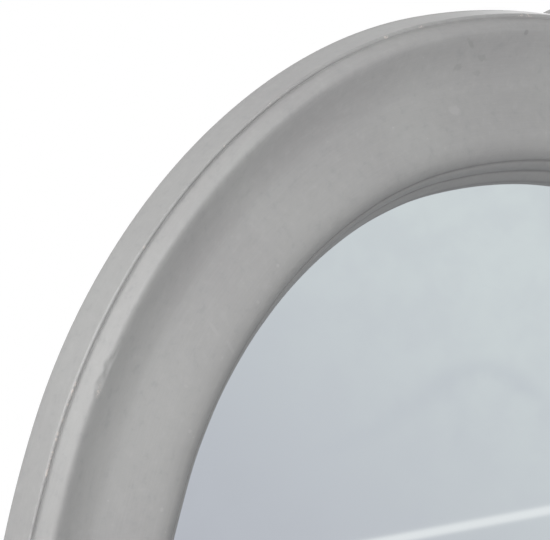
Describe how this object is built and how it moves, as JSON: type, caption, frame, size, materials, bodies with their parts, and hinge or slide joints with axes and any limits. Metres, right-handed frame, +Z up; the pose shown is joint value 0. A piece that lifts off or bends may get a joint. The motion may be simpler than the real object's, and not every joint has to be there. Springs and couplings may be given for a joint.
{
  "type": "heart-shaped wall mirror",
  "caption": "Heart-shaped wall mirror: jointed wooden moulding in matt grey paint round a silvered pane, carved crest at the cleft, and two swinging ring hangers behind.",
  "frame": {"origin": "on the wall plane, on the centre line, level with the two wall hooks that the rings hang on", "axes": "+Z up, the mirror faces -Y, the wall is the plane y = 0, +X to the right as the viewer sees it"},
  "size_m": [0.8728, 0.0348, 0.9345],
  "materials": {
    "painted_wood": "matt grey paint, lightly worn on the edges",
    "beech": "bare pressed beech",
    "silvered_glass": "polished float glass, silvered behind",
    "liner_paper": "brown kraft paper",
    "hardboard": "plain brown hardboard",
    "zinc_steel": "bright zinc plate",
    "cork": "pressed cork",
    "felt": "dark grey wool felt"
  },
  "bodies": {
    "mirror_frame": {"frame_cleft_left": "painted_wood", "frame_cleft_right": "painted_wood", "frame_crown_left": "painted_wood", "frame_crown_right": "painted_wood", "frame_lobe_left": "painted_wood", "frame_lobe_right": "painted_wood", "frame_flank_left": "painted_wood", "frame_flank_right": "painted_wood", "frame_rail_left": "painted_wood", "frame_rail_right": "painted_wood", "joint_biscuits": "beech", "mirror_pane": "silvered_glass", "liner_sheet": "liner_paper", "backing_board": "hardboard", "board_screws": "zinc_steel", "edge_blocks": "cork", "crest_leaf_left": "painted_wood", "crest_leaf_right": "painted_wood", "crest_shell": "painted_wood", "crest_dowels": "beech", "hanger_plate_left": "zinc_steel", "hanger_plate_right": "zinc_steel", "hanger_screws": "zinc_steel", "wall_bumpers": "felt"},
    "ring_left": {"hanger_ring_left": "zinc_steel"},
    "ring_right": {"hanger_ring_right": "zinc_steel"}
  },
  "joints": [
    {"name": "ring_left_swing", "type": "hinge", "parent": "mirror_frame", "child": "ring_left", "pos_m": [-0.40478, -0.0031, -0.0185], "axis": [1, 0, 0], "range_deg": [0, 180]},
    {"name": "ring_right_swing", "type": "hinge", "parent": "mirror_frame", "child": "ring_right", "pos_m": [0.40478, -0.0031, -0.0185], "axis": [1, 0, 0], "range_deg": [0, 180]}
  ]
}
